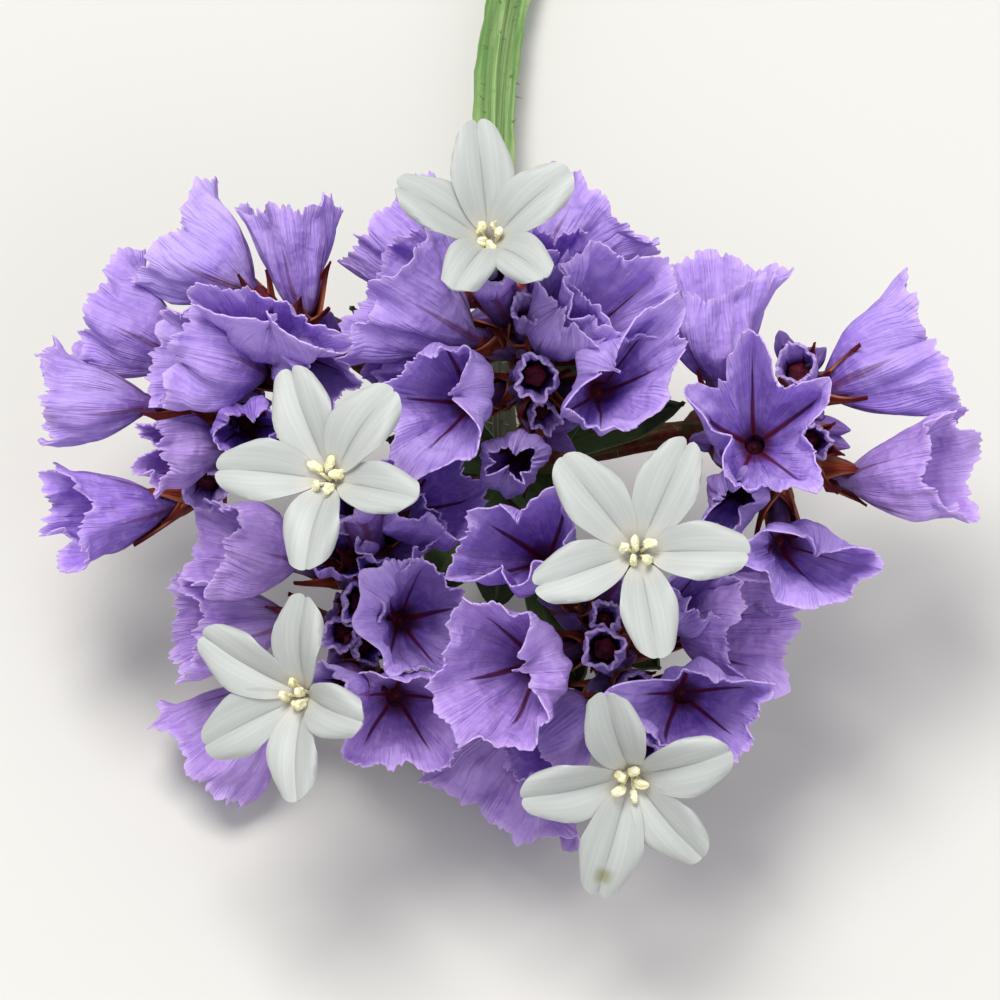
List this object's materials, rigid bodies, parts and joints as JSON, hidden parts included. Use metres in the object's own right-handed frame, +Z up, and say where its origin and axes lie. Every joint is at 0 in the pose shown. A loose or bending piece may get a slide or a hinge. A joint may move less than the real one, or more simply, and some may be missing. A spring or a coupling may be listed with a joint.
{
  "type": "dried statice",
  "caption": "Cut sprig of statice lying on a surface: a winged stem that forks into spikes of papery lilac calyces, with white flowers among them.",
  "frame": {"origin": "middle of the sprig's footprint, on the surface that it lies on", "axes": "+Z up; +Y along the lying stem, from the flower head to the cut end; the flower head faces up and towards -Y"},
  "size_m": [0.0645, 0.1071, 0.0406],
  "materials": {
    "calyx": "papery, finely wrinkled lilac, dark red at the ribs and throat",
    "corolla": "soft, matt white petals with cream anthers",
    "stem": "fibrous green with thin paler wings"
  },
  "bodies": {
    "root": {"spike_left": "calyx", "spike_top": "calyx", "spike_right": "calyx", "spike_lower_left": "calyx", "spike_lower_right": "calyx", "corolla_1": "corolla", "corolla_2": "corolla", "corolla_3": "corolla", "corolla_4": "corolla", "corolla_5": "corolla", "stem": "stem"}
  },
  "joints": []
}
